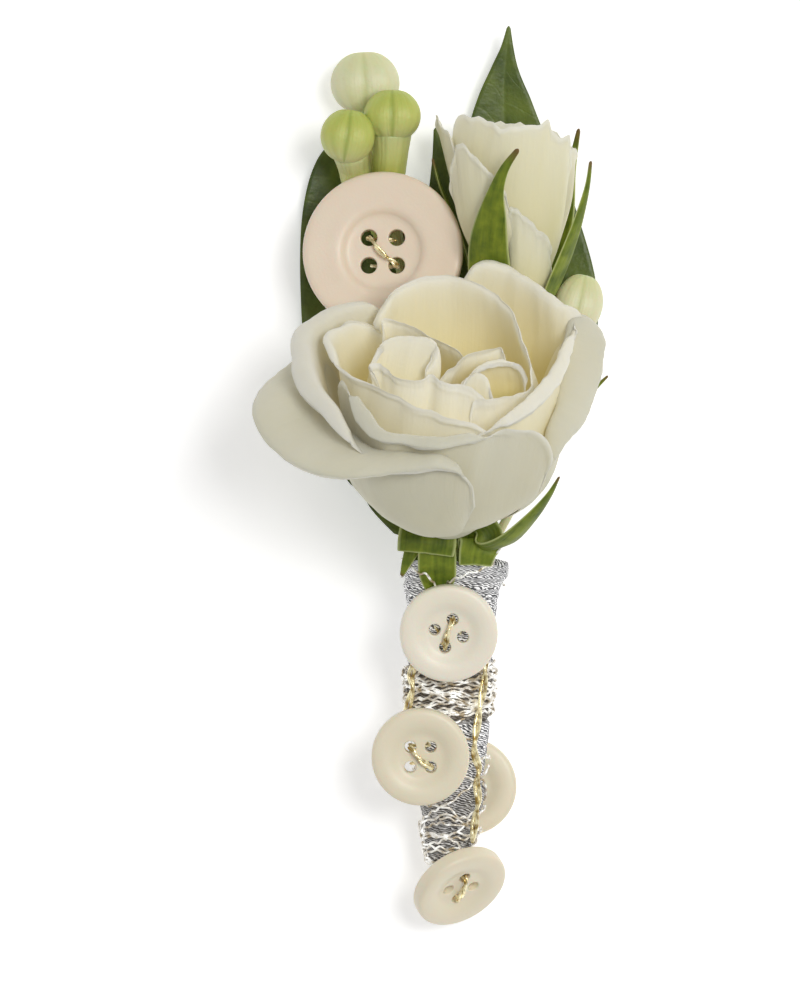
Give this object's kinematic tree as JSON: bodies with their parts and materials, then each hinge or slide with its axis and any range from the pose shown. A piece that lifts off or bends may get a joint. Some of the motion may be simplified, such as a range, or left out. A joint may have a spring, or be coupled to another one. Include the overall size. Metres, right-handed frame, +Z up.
{
  "type": "boutonniere",
  "caption": "Boutonniere lying flat: an open spray rose with its bud, bouvardia buds and leaves, the stems bound in silver ribbon, wire and cord with sewn-on buttons.",
  "frame": {"origin": "middle of the bounding box's bottom face, on the surface that the piece lies on", "axes": "+Z up from the surface, +Y from the bound stems' end to the flowers' tips, +X to the right when seen from above"},
  "size_m": [0.0454, 0.1158, 0.0446],
  "materials": {
    "rose_cream": null,
    "calyx_green": "matt living green sepals and stem",
    "leaf_green": "satin living leaf with raised veins",
    "bud_lime": "satin living bud",
    "bud_cream": "satin living bud",
    "ribbon_silver": "metallic woven ribbon, finely ribbed",
    "wire_silver": "bright crimped bullion wire",
    "cord_gold": "bright metallic twisted cord",
    "tie_gold": "bright metallic thread",
    "button_blush": "satin, pinkish beige",
    "button_ivory": "satin, ivory"
  },
  "bodies": {
    "root": {"rose_petals": "rose_cream", "rosebud_petals": "rose_cream", "rose_calyx": "calyx_green", "rosebud_calyx": "calyx_green", "bouvardia_green_buds": "bud_lime", "bouvardia_cream_bud": "bud_cream", "bouvardia_side_bud": "bud_cream", "leaf_left": "leaf_green", "leaf_top": "leaf_green", "leaf_mid": "leaf_green", "ribbon_sleeve": "ribbon_silver", "wire_top": "wire_silver", "wire_band": "wire_silver", "wire_lower": "wire_silver", "cord_right": "cord_gold", "cord_left": "cord_gold", "button_large": "button_blush", "button_upper": "button_ivory", "button_left": "button_ivory", "button_under": "button_ivory", "button_end": "button_ivory", "tie_large": "tie_gold", "tie_upper": "tie_gold", "tie_left": "tie_gold", "tie_under": "tie_gold", "tie_end": "tie_gold"}
  },
  "joints": []
}
